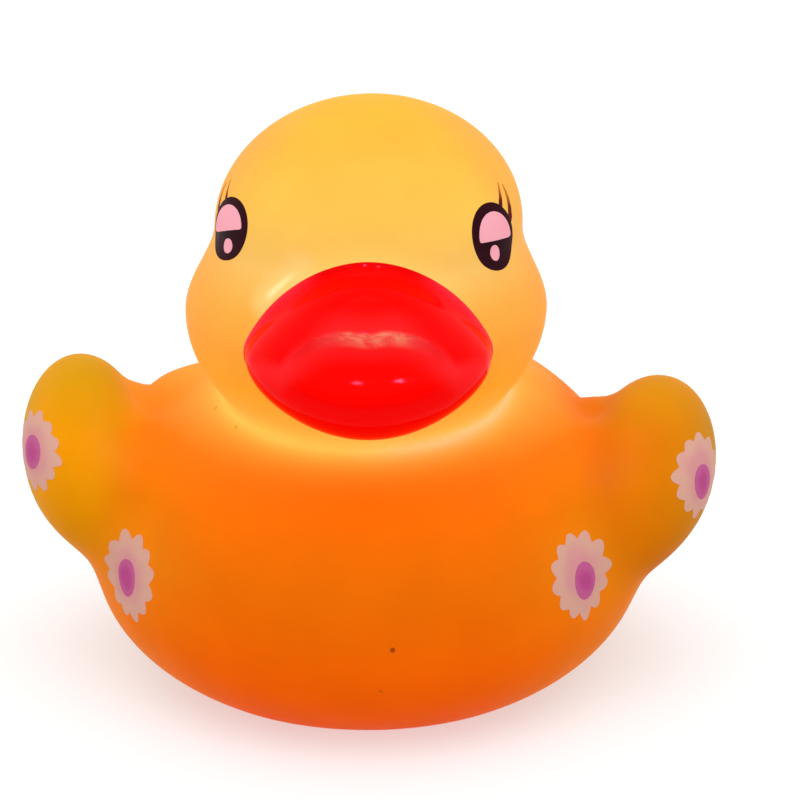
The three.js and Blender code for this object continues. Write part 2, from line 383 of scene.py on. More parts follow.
def surface_net(field, axes):
    """Vertices and quads of the field's zero surface on a rectangular grid."""
    values = field(np.stack(np.meshgrid(*axes, indexing="ij"), -1))
    inside = values < 0
    corners = np.lib.stride_tricks.sliding_window_view(inside, (2, 2, 2))
    active = corners.any((3, 4, 5)) & ~corners.all((3, 4, 5))
    ids = np.full(active.shape, -1)
    ids[active] = np.arange(active.sum())
    vertices = cell_vertices(values, axes, np.argwhere(active))
    quads = []
    for axis in range(3):
        u = np.eye(3, dtype=int)[(axis + 1) % 3]
        v = np.eye(3, dtype=int)[(axis + 2) % 3]
        low = np.take(inside, range(inside.shape[axis] - 1), axis)
        high = np.take(inside, range(1, inside.shape[axis]), axis)
        edge = np.argwhere(low != high)
        ring = (edge - u - v, edge - v, edge, edge - u)
        quad = np.stack([ids[tuple(cell.T)] for cell in ring], -1)
        flip = high[tuple(edge.T)]
        quad[flip] = quad[flip][:, ::-1]
        quads.append(quad)
    return vertices, np.concatenate(quads)


def relax(vertices, quads):
    """Evens the spacing of the vertices."""
    count = len(vertices)
    ends = np.concatenate([quads[:, [i, (i + 1) % 4]] for i in range(4)])
    total = np.zeros_like(vertices)
    number = np.zeros(count)
    for here, there in ((0, 1), (1, 0)):
        number += np.bincount(ends[:, here], minlength=count)
        for axis in range(3):
            total[:, axis] += np.bincount(ends[:, here], vertices[ends[:, there], axis], count)
    return vertices + RELAX_SHARE * (total / number[:, None] - vertices)


def to_frame(points):
    """Millimetres on the body's axis to metres in the row frame."""
    return (np.asarray(points, float) + np.array([0, AXIS_Y, 0])) * MM


def new_object(name, points, faces):
    mesh = bpy.data.meshes.new(name)
    mesh.from_pydata(to_frame(points).tolist(), [], faces)
    mesh.update()
    made = bpy.data.objects.new(name, mesh)
    bpy.context.scene.collection.objects.link(made)
    return made


def net_object(name, field, axes, rounds):
    """The field's zero surface as a closed mesh of evenly spaced vertices."""
    points, quads = surface_net(field, axes)
    for _ in range(rounds):
        points = relax(settle(field, points, rounds=2), quads)
    return new_object(name, settle(field, points), quads.tolist())


def skin_object():
    steps = (SKIN_STEP, BILL_STEP, SKIN_STEP)
    axes = (
        grid_lines((-REACH, *BILL_SIDES, REACH), *steps),
        grid_lines((-REACH, *BILL_ENDS, TAIL_REACH), *steps),
        grid_lines((LOWEST, *BILL_HEIGHTS, HIGHEST), *steps),
    )
    return net_object("duck_vinyl_skin", skin_field, axes, rounds=3)


def hollow_object():
    level = grid_lines((-REACH, TAIL_REACH), HOLLOW_STEP)
    axes = (level, level, grid_lines((LOWEST, HIGHEST), HOLLOW_STEP))
    return net_object("hollow_cutter", hollow_field, axes, rounds=2)


def hole_object():
    """A closed cutter: the hole's outline of (radius, height) pairs turned about the body's axis."""
    outline = [(SEAT_RADIUS + SEAT_EDGE, HOLE_BOTTOM), (SEAT_RADIUS + SEAT_EDGE, 0.0)]
    for i in range(1, SEAT_EDGE_STEPS + 1):
        angle = math.pi / 2 * i / SEAT_EDGE_STEPS
        radius = SEAT_RADIUS + SEAT_EDGE * (1 - math.sin(angle))
        outline.append((radius, SEAT_EDGE * (1 - math.cos(angle))))
    outline += [(SEAT_RADIUS, SEAT_DEPTH), (HOLE_RADIUS, SEAT_DEPTH), (HOLE_RADIUS, HOLE_TOP)]
    points = []
    for radius, height in outline:
        for i in range(HOLE_SIDES):
            angle = 2 * math.pi * i / HOLE_SIDES
            points.append((radius * math.cos(angle), radius * math.sin(angle), height))
    faces = [tuple(reversed(range(HOLE_SIDES))), tuple(range(len(points) - HOLE_SIDES, len(points)))]
    for row in range(0, len(points) - HOLE_SIDES, HOLE_SIDES):
        above = row + HOLE_SIDES
        for i in range(HOLE_SIDES):
            j = (i + 1) % HOLE_SIDES
            faces.append((row + i, row + j, above + j, above + i))
    return new_object("hole_cutter", points, faces)


def cut(target, *cutters):
    """Takes the cutters out of the target and removes them."""
    for cutter in cutters:
        modifier = target.modifiers.new(cutter.name, "BOOLEAN")
        modifier.operation = "DIFFERENCE"
        modifier.solver = "MANIFOLD"
        modifier.object = cutter
    depsgraph = bpy.context.evaluated_depsgraph_get()
    mesh = bpy.data.meshes.new_from_object(target.evaluated_get(depsgraph))
    target.modifiers.clear()
    old = target.data
    target.data = mesh
    bpy.data.meshes.remove(old)
    for cutter in cutters:
        bpy.data.meshes.remove(cutter.data)


def mesh_points(mesh):
    """A mesh's vertices in millimetres on the body's axis."""
    flat = np.zeros(len(mesh.vertices) * 3, np.float32)
    mesh.vertices.foreach_get("co", flat)
    return np.asarray(flat.reshape(-1, 3), float) / MM - np.array([0, AXIS_Y, 0])


def put_attribute(mesh, name, values):
    attribute = mesh.attributes.new(name, "FLOAT", "POINT")
    attribute.data.foreach_set("value", np.asarray(values, np.float32))


def paint_edge(points, part):
    """Below 0 under the bill's paint."""
    lift = PAINT_LIFT * ease(*PAINT_LIFT_SPAN, points[:, 2])
    edge = np.maximum(part["bill"] - part["head"] - lift, part["bill"] - PAINT_REACH)
    return np.where(skin_field(points) < INNER_WALL, PAINT_REACH, edge)


def degrees_from_front(x, y):
    return np.degrees(np.arctan2(np.abs(x), -y))


def mark_regions(mesh):
    """Writes where the head, wings, neck and bill paint are, for the vinyl's colours."""
    points = mesh_points(mesh)
    part = skin_parts(points)
    hx = part["hx"]
    hy = part["hy"] + HEAD_FORWARD
    trunk = np.minimum(part["body"], part["tail"])
    tint_start = np.where(points[:, 0] < 0, RIGHT_WING["tint_start"], LEFT_WING["tint_start"])
    from_neck = np.maximum(part["head"] - NECK_GLOW_START, 0) + np.maximum(trunk - NECK_GLOW_START, 0)
    head_side = ease(*HEAD_SIDE_ANGLES, degrees_from_front(hx, hy))
    regions = {
        "head_share": ease(HEAD_EDGE, -HEAD_EDGE, part["head"] - trunk),
        "wing_share": ease(tint_start, WING_TINT_END, part["wing"] - trunk),
        "neck_glow": np.exp(-from_neck / NECK_GLOW_REACH),
        "bill_edge": paint_edge(points, part),
        "flank": ease(*FLANK_ANGLES, degrees_from_front(points[:, 0], points[:, 1])),
        "head_side": head_side * ease(*CROWN_SPAN, np.hypot(hx, hy)),
        "rim_below": np.clip(rim_line(hx) - points[:, 2], *RIM_BELOW_LIMITS),
        "bill_side": hx,
    }
    for name, values in regions.items():
        put_attribute(mesh, name, values)


def paint_bill(mesh):
    """Gives the faces that are wholly under the bill's paint its glossier material."""
    edge = np.zeros(len(mesh.vertices), np.float32)
    mesh.attributes["bill_edge"].data.foreach_get("value", edge)
    corners = np.zeros(len(mesh.loops), np.int32)
    mesh.loops.foreach_get("vertex_index", corners)
    starts = np.zeros(len(mesh.polygons), np.int32)
    mesh.polygons.foreach_get("loop_start", starts)
    highest = np.maximum.reduceat(edge[corners], starts)
    mesh.polygons.foreach_set("material_index", (highest < -PAINT_MARGIN).astype(np.int32))


def linear(rgb):
    """A screen colour, 0 to 255, as linear light."""
    out = []
    for channel in rgb:
        c = channel / 255
        out.append(c / 12.92 if c <= 0.04045 else ((c + 0.055) / 1.055) ** 2.4)
    return (*out, 1.0)


# Most of a noise's values are in this span.
NOISE_SPAN = (0.3, 0.7)
ROUGHNESS_CHANGE = 0.05


class Shader:
    """A node material with short calls for its nodes."""

    def __init__(self, name):
        self.material = bpy.data.materials.new(name)
        self.material.use_nodes = True
        self.tree = self.material.node_tree
        self.bsdf = self.tree.nodes["Principled BSDF"]

    def put(self, socket, value):
        if isinstance(value, bpy.types.NodeSocket):
            self.tree.links.new(value, socket)
        else:
            socket.default_value = value

    def set(self, **sockets):
        for name, value in sockets.items():
            self.put(self.bsdf.inputs[name.replace("_", " ")], value)

    def node(self, kind, inputs, output, **settings):
        """An output of a new node with these inputs."""
        made = self.tree.nodes.new(kind)
        for key, value in settings.items():
            setattr(made, key, value)
        for key, value in inputs.items():
            self.put(made.inputs[key], value)
        return made.outputs[output]

    def math(self, operation, a, b=0.0):
        return self.node("ShaderNodeMath", {0: a, 1: b}, 0, operation=operation)

    def times(self, product, *factors):
        for factor in factors:
            product = self.math("MULTIPLY", product, factor)
        return product

    def spread(self, value, low, high, to_low, to_high, kind="LINEAR"):
        """Moves values from low..high to to_low..to_high, and keeps them there."""
        inputs = {"Value": value, "From Min": low, "From Max": high, "To Min": to_low, "To Max": to_high}
        return self.node("ShaderNodeMapRange", inputs, "Result", interpolation_type=kind)

    def fade(self, value, low, high):
        """0 at low, 1 at high, smooth between; low may be above high."""
        return self.spread(value, low, high, 0.0, 1.0, "SMOOTHSTEP")

    def band(self, value, rise, fall):
        """1 inside a band that starts over one span and ends over another."""
        return self.times(self.fade(value, *rise), self.fade(value, *fall))

    def mix(self, share, a, b):
        return self.node("ShaderNodeMix", {"Factor": share, "A": a, "B": b}, "Result", data_type="RGBA")

    def tint(self, share, colour, rgb):
        """The colour with a share of a screen colour over it."""
        return self.mix(share, colour, linear(rgb))

    def ramp(self, value, stops):
        """Colours along a value; stops gives screen colours by place."""
        low = min(stops)
        high = max(stops)
        share = self.spread(value, low, high, 0.0, 1.0)
        colour = self.node("ShaderNodeValToRGB", {"Fac": share}, "Color")
        elements = colour.node.color_ramp.elements
        while len(elements) < len(stops):
            elements.new(1.0)
        for element, (place, rgb) in zip(elements, stops.items()):
            element.position = (place - low) / (high - low)
            element.color = linear(rgb)
        return colour

    def mark(self, name):
        """A number that the mesh carries at its vertices."""
        return self.node("ShaderNodeAttribute", {}, "Fac", attribute_name=name)

    def point(self):
        """Where the surface is in the row frame, in metres."""
        return self.node("ShaderNodeTexCoord", {}, "Object")

    def place(self, point):
        """The point's x, y and z in millimetres."""
        first = self.node("ShaderNodeSeparateXYZ", {0: self.scaled(point, 1 / MM)}, 0)
        return tuple(first.node.outputs)

    def noise(self, point, scale, detail, roughness=0.5):
        inputs = {"Vector": point, "Scale": scale, "Detail": detail, "Roughness": roughness}
        return self.node("ShaderNodeTexNoise", inputs, "Fac")

    def uneven(self, point, scale, detail, low, high):
        """A number that wanders between low and high over the surface."""
        return self.spread(self.noise(point, scale, detail), *NOISE_SPAN, low, high)

    def uneven_roughness(self, point, scale, rough):
        return self.uneven(point, scale, 2.0, rough - ROUGHNESS_CHANGE, rough + ROUGHNESS_CHANGE)

    def scaled(self, vector, share):
        """A colour or a vector times a number."""
        return self.node("ShaderNodeVectorMath", {0: vector, "Scale": share}, 0, operation="SCALE")

    def vector(self, operation, a, b):
        output = "Value" if operation in ("DOT_PRODUCT", "DISTANCE") else "Vector"
        return self.node("ShaderNodeVectorMath", {0: a, 1: b}, output, operation=operation)

    def line_gap(self, point, start, end):
        """How far a point is from the line between two places, and how far along it, from 0 to 1."""
        length = (Vector(end) - Vector(start)).length
        along = (Vector(end) - Vector(start)).normalized()
        reach = self.vector("DOT_PRODUCT", self.vector("SUBTRACT", point, start), along)
        reach = self.math("MINIMUM", self.math("MAXIMUM", reach, 0.0), length)
        nearest = self.vector("ADD", self.scaled(along, reach), start)
        return self.vector("DISTANCE", point, nearest), self.math("DIVIDE", reach, length)

    def bump(self, height, strength, distance):
        inputs = {"Height": height, "Strength": strength, "Distance": distance}
        return self.node("ShaderNodeBump", inputs, "Normal")


# Screen colours of the lit vinyl by height, and for the wings by distance from the middle.
BODY_COLOURS = {
    0.0: (252, 89, 0), 12.0: (248, 101, 0), 22.0: (236, 108, 0), 28.0: (239, 109, 0),
    34.0: (255, 108, 0), 40.0: (255, 126, 0), 46.0: (255, 165, 58),
}
FLANK_COLOURS = {
    0.0: (231, 132, 0), 12.0: (240, 124, 0), 22.0: (236, 140, 16), 28.0: (226, 121, 0),
    34.0: (249, 117, 7), 40.0: (250, 164, 59), 46.0: (255, 165, 58),
}
BACK_COLOURS = {
    0.0: (236, 122, 0), 14.0: (238, 124, 0), 28.0: (243, 128, 4), 38.0: (251, 144, 30),
    46.0: (255, 165, 58),
}
# Painted light: the duck's right wing is lighter and yellower than its left, as if lit from that side.
RIGHT_WING_LIT_COLOURS = {
    28.0: (225, 134, 0), 34.0: (231, 144, 0), 38.0: (234, 146, 0), 42.0: (241, 154, 0),
    45.5: (214, 156, 0),
}
LEFT_WING_COLOURS = {
    28.0: (208, 98, 0), 34.0: (222, 116, 0), 38.0: (219, 120, 0), 42.0: (216, 130, 0),
    45.5: (202, 140, 0),
}
HEAD_COLOURS = {
    36.0: (252, 189, 78), 41.0: (251, 178, 64), 46.0: (255, 164, 41), 51.0: (255, 163, 55),
    56.0: (255, 176, 70), 61.0: (255, 200, 104), 68.0: (255, 199, 84), 74.0: (254, 190, 71),
    79.0: (254, 182, 56),
}
HEAD_BACK_COLOURS = {
    36.0: (255, 170, 64), 58.0: (254, 174, 74), 79.0: (254, 178, 70),
}
WING_TOP_COLOUR = (202, 150, 0)
WING_BACK_COLOUR = (222, 142, 0)
HEAD_SIDE_COLOUR = (254, 166, 74)
# Painted glow: the bright yellow of the neck's crease.
NECK_GLOW_COLOUR = (255, 211, 90)
# Painted highlight: a pale patch along the neck crease on the duck's left side.
NECK_HIGHLIGHT_COLOUR = (255, 216, 172)

# Where the regions' colours change. These places are millimetres in the row frame.
WING_SWAP_SPAN = (-6.0, 6.0)
WING_TOP_SPAN = (32.5, 40.0)
WING_TOP_SHARE = 0.8
WING_BACK_SPAN = (1.5, 8.0)
BODY_BACK_SPAN = (9.0, 25.0)
HEAD_BACK_SPAN = (-7.0, 4.0)
HEAD_SIDE_SHARE = 0.6
NECK_HIGHLIGHT_SPAN = (-4.0, 12.0)
NECK_SHARE = 0.95

# Specks of dirt, and a painted highlight beside the bill: a pale streak in a softer halo.
DIRT = (110, 40, 10)
SPECKS = (
    {"at": (4.93, -38.0, 16.2), "radius": 0.32, "strength": 0.75},
    {"at": (3.42, -37.4, 10.3), "radius": 0.25, "strength": 0.3},
    {"at": (-15.8, -17.6, 37.5), "radius": 0.3, "strength": 0.35},
    {"at": (-19.0, -11.9, 37.9), "radius": 0.3, "strength": 0.3},
)
SPECK_OUTER = 1.5
SPECK_INNER = 0.5
HIGHLIGHT_START = (-11.3, -27.0, 58.0)
HIGHLIGHT_END = (-6.9, -27.5, 62.3)
HIGHLIGHT_COLOUR = (255, 238, 166)
HIGHLIGHT_HALO = (255, 216, 130)
HIGHLIGHT_HALO_SPAN = (3.2 * MM, 0.6 * MM)
HIGHLIGHT_HALO_SHARE = 0.55
HIGHLIGHT_WIDTHS = (1.1 * MM, 0.55 * MM)
HIGHLIGHT_CORE = 0.1 * MM
HIGHLIGHT_BAND = ((-0.05, 0.25), (1.02, 0.5))
HIGHLIGHT_SHARE = 0.9

# The bill's paint, by distance below the rim and by distance aside of the bill's middle.
BILL_RED = (253, 2, 0)
# Painted light: a pink band just under the rim and a pink glow over its middle.
BILL_PAINTED_LIGHT_PINK = (255, 36, 40)
# Painted shade: a darker red along the seam where the bill meets the head, with a painted sheen at its
# sides.
BILL_CREASE_SHADE_RED = (226, 2, 3)
BILL_CREASE_SHEEN_PINK = (252, 46, 66)
RUBBED_COLOUR = (255, 68, 68)
WORN_COLOUR = (254, 158, 124)
PINK_BAND = ((-0.9, 0.9), (4.6, 0.5))
CORNER_SPAN = (9.0, 13.5)
CORNER_PINK = 0.6
BROW_BAND = ((-2.4, -0.2), (0.6, -0.2))
BROW_SIDES = ((-8.5, -3.5), (8.5, 3.5))
BROW_SHARE = 0.7
RIM_BAND = ((-0.3, 0.3), (2.4, 1.2))
RUBBED_SIDES = ((-7.4, -4.2), (8.6, 5.0))
WORN_SIDES = ((-4.4, -2.4), (6.2, 3.4))
WORN_SPAN = (0.25, 0.75)
# Where the seam's painted shade and the painted sheen at its sides lie.
SEAM_SPAN = (-1.8, -0.2)
SEAM_SHARE = 0.8
SEAM_SIDE_SPAN = (5.0, 10.0)
SEAM_TOP_SPAN = (3.0, 0.0)
PAINT_SPAN = (0.06, -0.06)

# How much of its colour the vinyl gives off, and how smooth it is.
BODY_GLOW = 0.5
WING_GLOW = 0.2
NECK_LIGHT = 0.12
NECK_LIGHT_BAND = ((18.0, 34.0), (58.0, 44.0))
PAINT_SMOOTHING = 0.16
WORN_ROUGHNESS = 0.25
VINYL_SPECULAR = 0.025
PAINT_SPECULAR = 0.013


def region_colour(mat, x, y, z):
    """The body, wings and head, with painted light: a glowing neck crease, a highlight on its left, a
    lighter right wing.
    """
    side = mat.math("ABSOLUTE", x)
    # Painted light: the right wing's colours are lighter than the left's.
    right_wing = mat.ramp(side, RIGHT_WING_LIT_COLOURS)
    wing = mat.mix(mat.fade(x, *WING_SWAP_SPAN), right_wing, mat.ramp(side, LEFT_WING_COLOURS))
    wing_top = mat.times(mat.fade(z, *WING_TOP_SPAN), WING_TOP_SHARE)
    wing = mat.tint(wing_top, wing, WING_TOP_COLOUR)
    wing = mat.tint(mat.fade(y, *WING_BACK_SPAN), wing, WING_BACK_COLOUR)
    body = mat.ramp(z, BODY_COLOURS)
    body = mat.mix(mat.mark("flank"), body, mat.ramp(z, FLANK_COLOURS))
    body = mat.mix(mat.fade(y, *BODY_BACK_SPAN), body, mat.ramp(z, BACK_COLOURS))
    head_side = mat.times(mat.mark("head_side"), HEAD_SIDE_SHARE)
    head = mat.tint(head_side, mat.ramp(z, HEAD_COLOURS), HEAD_SIDE_COLOUR)
    head = mat.mix(mat.fade(y, *HEAD_BACK_SPAN), head, mat.ramp(z, HEAD_BACK_COLOURS))
    colour = mat.mix(mat.mark("wing_share"), body, wing)
    colour = mat.mix(mat.mark("head_share"), colour, head)
    # Painted glow: the neck's crease is mixed towards a bright yellow.
    neck_glow = mat.mark("neck_glow")
    # A painted highlight, paler on the neck's left side.
    pale = mat.times(mat.fade(x, *NECK_HIGHLIGHT_SPAN), mat.math("POWER", neck_glow, 2.0))
    neck = mat.tint(pale, linear(NECK_GLOW_COLOUR), NECK_HIGHLIGHT_COLOUR)
    return mat.mix(mat.times(neck_glow, NECK_SHARE), colour, neck)


def dirt_and_highlight_colour(mat, point, colour):
    """The vinyl with its specks of dirt and the painted highlight beside the bill."""
    for speck in SPECKS:
        gap = mat.vector("DISTANCE", point, to_frame(speck["at"]))
        radius = speck["radius"] * MM
        dot = mat.fade(gap, radius * SPECK_OUTER, radius * SPECK_INNER)
        colour = mat.tint(mat.times(dot, speck["strength"]), colour, DIRT)
    # A painted highlight: a pale streak along a line beside the bill, in a softer halo.
    gap, along = mat.line_gap(point, to_frame(HIGHLIGHT_START), to_frame(HIGHLIGHT_END))
    halo = mat.times(mat.fade(gap, *HIGHLIGHT_HALO_SPAN), HIGHLIGHT_HALO_SHARE)
    colour = mat.tint(halo, colour, HIGHLIGHT_HALO)
    width = mat.spread(along, 0.0, 1.0, *HIGHLIGHT_WIDTHS)
    core = mat.times(mat.fade(gap, width, HIGHLIGHT_CORE), mat.band(along, *HIGHLIGHT_BAND))
    return mat.tint(mat.times(core, HIGHLIGHT_SHARE), colour, HIGHLIGHT_COLOUR)


def bill_colour(mat, point, edge):
    """The bill's paint: painted light at the rim, painted shade and sheen at the seam, rubbed and worn
    patches, and how worn it is.
    """
    below = mat.mark("rim_below")
    aside = mat.mark("bill_side")
    out = mat.math("ABSOLUTE", aside)
    # Painted light: pink bands under the rim and over its middle, weaker towards the corners.
    corner = mat.spread(mat.fade(out, *CORNER_SPAN), 0.0, 1.0, 1.0, CORNER_PINK)
    pink = mat.times(mat.band(below, *PINK_BAND), corner)
    red = mat.tint(pink, linear(BILL_RED), BILL_PAINTED_LIGHT_PINK)
    brow = mat.times(mat.band(below, *BROW_BAND), BROW_SHARE, mat.band(aside, *BROW_SIDES))
    red = mat.tint(brow, red, BILL_PAINTED_LIGHT_PINK)
    rim = mat.band(below, *RIM_BAND)
    rubbed = mat.times(rim, mat.band(aside, *RUBBED_SIDES))
    red = mat.tint(rubbed, red, RUBBED_COLOUR)
    patchy = mat.fade(mat.noise(point, scale=700.0, detail=4.0, roughness=0.6), *WORN_SPAN)
    worn = mat.times(mat.band(aside, *WORN_SIDES), patchy, rim)
    red = mat.tint(worn, red, WORN_COLOUR)
    # Painted shade along the seam, turning to a pink painted sheen at the bill's sides.
    crease_sheen = mat.times(mat.fade(out, *SEAM_SIDE_SPAN), mat.fade(below, *SEAM_TOP_SPAN))
    crease_shade_colour = mat.tint(crease_sheen, linear(BILL_CREASE_SHADE_RED), BILL_CREASE_SHEEN_PINK)
    seam = mat.times(mat.fade(edge, *SEAM_SPAN), SEAM_SHARE)
    return mat.mix(seam, red, crease_shade_colour), worn


def vinyl_material(name, specular):
    """The duck's skin. It gives off a part of its colour, as if lit from inside, and reflects the rest."""
    mat = Shader(name)
    point = mat.point()
    x, y, z = mat.place(point)
    mottle = mat.uneven(point, scale=140.0, detail=3.0, low=0.97, high=1.03)
    colour = dirt_and_highlight_colour(mat, point, mat.scaled(region_colour(mat, x, y, z), mottle))
    edge = mat.mark("bill_edge")
    red, worn = bill_colour(mat, point, edge)
    paint = mat.fade(edge, *PAINT_SPAN)
    bare = mat.math("SUBTRACT", 1.0, paint)
    colour = mat.mix(paint, colour, red)

    wing_share = mat.mark("wing_share")
    glow = mat.spread(wing_share, 0.0, 1.0, BODY_GLOW, WING_GLOW)
    rest = mat.math("SUBTRACT", 1.0, glow)
    neck_light = mat.spread(wing_share, 0.0, 1.0, NECK_LIGHT, 0.0)
    glow = mat.math("ADD", glow, mat.times(mat.band(z, *NECK_LIGHT_BAND), neck_light))

    satin = mat.uneven(point, scale=260.0, detail=3.0, low=0.46, high=0.54)
    glossy = mat.times(satin, PAINT_SMOOTHING)
    glossy = mat.math("ADD", glossy, mat.times(worn, WORN_ROUGHNESS))
    rough = mat.math("ADD", mat.times(satin, bare), mat.times(glossy, paint))
    grain = mat.times(mat.noise(point, scale=1400.0, detail=2.0), bare)
    mat.set(Base_Color=mat.scaled(colour, rest), Emission_Color=mat.scaled(colour, glow))
    mat.set(Emission_Strength=1.0, Roughness=rough, Specular_IOR_Level=specular)
    mat.set(Normal=mat.bump(grain, strength=0.25, distance=0.00004))
    return mat.material


# Printed inks: screen colours in the middle and at the edge of a print, and the scale of their patches.
INKS = {
    "eye_black_ink": {"middle": (40, 9, 17), "edge": (48, 12, 22), "scale": 400.0, "rough": 0.4},
    "eye_pink_ink": {"middle": (254, 174, 188), "edge": (254, 170, 182), "scale": 300.0, "glow": 0.4},
    "lash_ink": {"middle": (96, 22, 22), "edge": (206, 112, 44), "scale": 500.0},
    "daisy_petal_ink": {"middle": (213, 146, 146), "edge": (217, 164, 146), "scale": 260.0},
    "daisy_centre_ink": {"middle": (184, 74, 134), "edge": (192, 92, 142), "scale": 420.0},
}
INK_SPAN = (0.3, 0.8)
INK_PATCHES = 0.15
INK_SPECULAR = 0.02


def ink_material(name, middle, edge, scale, glow=0.3, rough=0.5):
    """A printed ink, a little uneven, that goes from one colour in the middle of the print to another."""
    mat = Shader(name)
    point = mat.point()
    patchy = mat.uneven(point, scale, detail=3.0, low=-INK_PATCHES, high=INK_PATCHES)
    share = mat.math("ADD", mat.mark("ink_spread"), patchy)
    colour = mat.tint(mat.fade(share, *INK_SPAN), linear(middle), edge)
    rough = mat.uneven_roughness(point, scale * 2, rough)
    mat.set(Base_Color=mat.scaled(colour, 1 - glow), Emission_Color=mat.scaled(colour, glow))
    mat.set(Emission_Strength=1.0, Roughness=rough, Specular_IOR_Level=INK_SPECULAR)
    return mat.material


def unit(vector):
    return np.asarray(vector, float) / np.linalg.norm(vector)


class Spot:
    """A place on the skin with directions along it: across (level, away from the middle) and up."""

    def __init__(self, near, stretch):
        mirror = math.copysign(1.0, near[0])
        self.origin = settle(skin_field, np.array([near], float), rounds=8)[0]
        normal = unit(gradient(skin_field, self.origin[None])[0])
        across = unit(np.cross([0, 0, 1], normal)) * mirror
        self.up = unit(np.cross(normal, across)) * mirror
        self.across = across * stretch

    def points(self, u, v, lift):
        """Points on the skin at u across and v up, lifted off it."""
        flat = self.origin + np.multiply.outer(u, self.across) + np.multiply.outer(v, self.up)
        on_skin = settle(skin_field, flat, rounds=8)
        slope = gradient(skin_field, on_skin)
        return on_skin + lift * slope / np.linalg.norm(slope, axis=-1, keepdims=True)

    def plate(self, u, v, lift):
        """The points of a thin plate: its lifted top, then its bottom inside the skin."""
        return np.concatenate([self.points(u, v, lift), self.points(u, v, -INK_DEPTH)])


# Ink stands a little out of the skin and reaches a little into it.
INK_DEPTH = 0.12
INK_LIFT = 0.04
TOP_INK_LIFT = 0.06


def fan_faces(rows, columns):
    """Faces of rings of columns around a middle point, from the middle outwards."""
    faces = []
    for i in range(columns):
        faces.append((0, 1 + i, 1 + (i + 1) % columns))
    for row in range(rows - 1):
        a = 1 + row * columns
        b = a + columns
        for i in range(columns):
            j = (i + 1) % columns
            faces.append((a + i, b + i, b + j, a + j))
    return faces


def plate_faces(faces, count, loop):
    """Faces of a closed plate from those of its top, the number of its points and the loop around it."""
    under = [tuple(count + i for i in reversed(face)) for face in faces]
    wall = []
    for i, a in enumerate(loop):
        b = loop[(i + 1) % len(loop)]
        wall.append((a, count + a, count + b, b))
    return faces + under + wall


def ink_patch(spot, centre, outline, lift, rows):
    """Points, faces and spread of a patch of ink; outline gives its radius at each angle."""
    columns = len(outline)
    angles = np.linspace(0, 2 * math.pi, columns, endpoint=False)
    shares = np.linspace(0, 1, rows + 1)[1:]
    u = np.concatenate([[centre[0]], (centre[0] + np.outer(shares, outline * np.cos(angles))).ravel()])
    v = np.concatenate([[centre[1]], (centre[1] + np.outer(shares, outline * np.sin(angles))).ravel()])
    rim = 1 + (rows - 1) * columns
    faces = plate_faces(fan_faces(rows, columns), len(u), range(rim, rim + columns))
    spread = np.concatenate([[0.0], np.outer(shares, outline / outline.max()).ravel()])
    return spot.plate(u, v, lift), faces, np.tile(spread, 2)


def ink_strip(spot, stroke, lift):
    """Points, faces and spread of a stroke of ink along a line of (u, v, width) points."""
    stroke = np.asarray(stroke, float)
    line = stroke[:, :2]
    along = np.gradient(line, axis=0)
    along /= np.linalg.norm(along, axis=1, keepdims=True)
    sideways = np.stack([-along[:, 1], along[:, 0]], -1) * stroke[:, 2:] / 2
    edge = np.stack([line - sideways, line, line + sideways], 1).reshape(-1, 2)
    count = len(edge)
    faces = []
    for a in range(0, count - 3, 3):
        faces.append((a, a + 3, a + 4, a + 1))
        faces.append((a + 1, a + 4, a + 5, a + 2))
    loop = [*range(0, count, 3), count - 2, *range(count - 1, 0, -3), 1]
    spread = np.repeat(np.linspace(0, 1, len(line)), 3)
    points = spot.plate(edge[:, 0], edge[:, 1], lift)
    return points, plate_faces(faces, count, loop), np.tile(spread, 2)


def turn_faces_outwards(mesh):
    work = bmesh.new()
    work.from_mesh(mesh)
    bmesh.ops.recalc_face_normals(work, faces=work.faces)
    work.to_mesh(mesh)
    work.free()


def print_object(name, layers):
    """One printed piece from layers of (points, faces, spread, material)."""
    points = []
    faces = []
    slots = []
    materials = []
    spreads = []
    for layer_points, layer_faces, spread, material in layers:
        start = sum(len(p) for p in points)
        points.append(layer_points)
        spreads.append(spread)
        faces += [tuple(start + i for i in face) for face in layer_faces]
        if material not in materials:
            materials.append(material)
        slots += [materials.index(material)] * len(layer_faces)
    made = new_object(name, np.concatenate(points), faces)
    for material in materials:
        made.data.materials.append(material)
    made.data.polygons.foreach_set("material_index", slots)
    put_attribute(made.data, "ink_spread", np.concatenate(spreads))
    turn_faces_outwards(made.data)
    made.data.shade_smooth()
    made.data.set_sharp_from_angle(angle=math.radians(50))
    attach(made, "root")


def oval(half_across, half_up, lean, sides):
    """Radius at each angle of an oval whose upright half leans from across by lean degrees."""
    angles = np.linspace(0, 2 * math.pi, sides, endpoint=False) - math.radians(lean)
    return 1 / np.sqrt((np.cos(angles) / half_up) ** 2 + (np.sin(angles) / half_across) ** 2)


